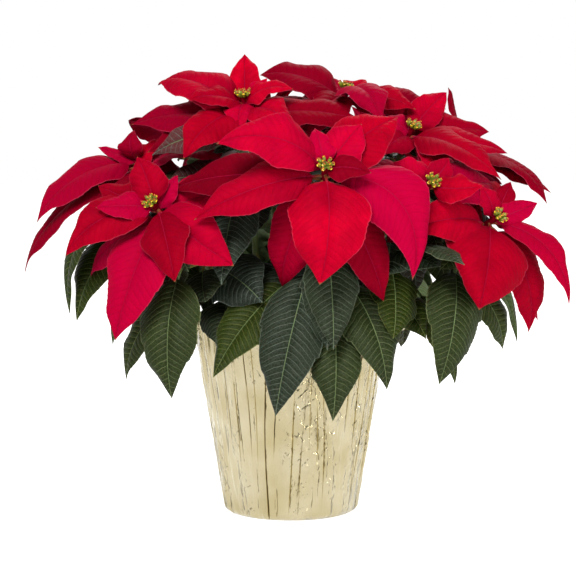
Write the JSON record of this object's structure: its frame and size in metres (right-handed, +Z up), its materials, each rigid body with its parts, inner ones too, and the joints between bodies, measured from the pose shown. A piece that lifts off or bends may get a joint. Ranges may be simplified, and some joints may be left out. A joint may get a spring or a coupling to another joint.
{
  "type": "potted poinsettia",
  "caption": "Potted red poinsettia: branched plants with starry red bracts over dark green leaves, in a pot with a pleated gold cover.",
  "frame": {"origin": "middle of the flat foot of the pot cover, on the surface it stands on", "axes": "+Z up, +X to the viewer's right, +Y away from the viewer of the picture"},
  "size_m": [0.475, 0.3777, 0.4045],
  "materials": {
    "metallised_film": "pleated metallised gold film",
    "pot_plastic": "thin moulded plastic",
    "potting_mix": "moist peat-based mix",
    "red_bract": "velvety red bracts",
    "green_leaf": "matt green leaves with pale veins",
    "cyathium": "yellow-green true flowers"
  },
  "bodies": {
    "root": {"bracts_back_left": "red_bract", "bracts_back_low": "red_bract", "bracts_back_right": "red_bract", "bracts_front_centre": "red_bract", "bracts_front_left": "red_bract", "bracts_left_upper": "red_bract", "bracts_right_back": "red_bract", "bracts_right_low": "red_bract", "bracts_right_middle": "red_bract", "bracts_right_upper": "red_bract", "bracts_top_back": "red_bract", "bracts_top_left": "red_bract", "bracts_top_right": "red_bract", "cyathia_back_left": "cyathium", "cyathia_back_low": "cyathium", "cyathia_back_right": "cyathium", "cyathia_front_centre": "cyathium", "cyathia_front_left": "cyathium", "cyathia_left_upper": "cyathium", "cyathia_right_back": "cyathium", "cyathia_right_low": "cyathium", "cyathia_right_middle": "cyathium", "cyathia_right_upper": "cyathium", "cyathia_top_back": "cyathium", "cyathia_top_left": "cyathium", "cyathia_top_right": "cyathium", "grower_pot": "pot_plastic", "plant_back": "green_leaf", "plant_left": "green_leaf", "plant_right": "green_leaf", "pot_cover": "metallised_film", "potting_mix": "potting_mix"}
  },
  "joints": []
}
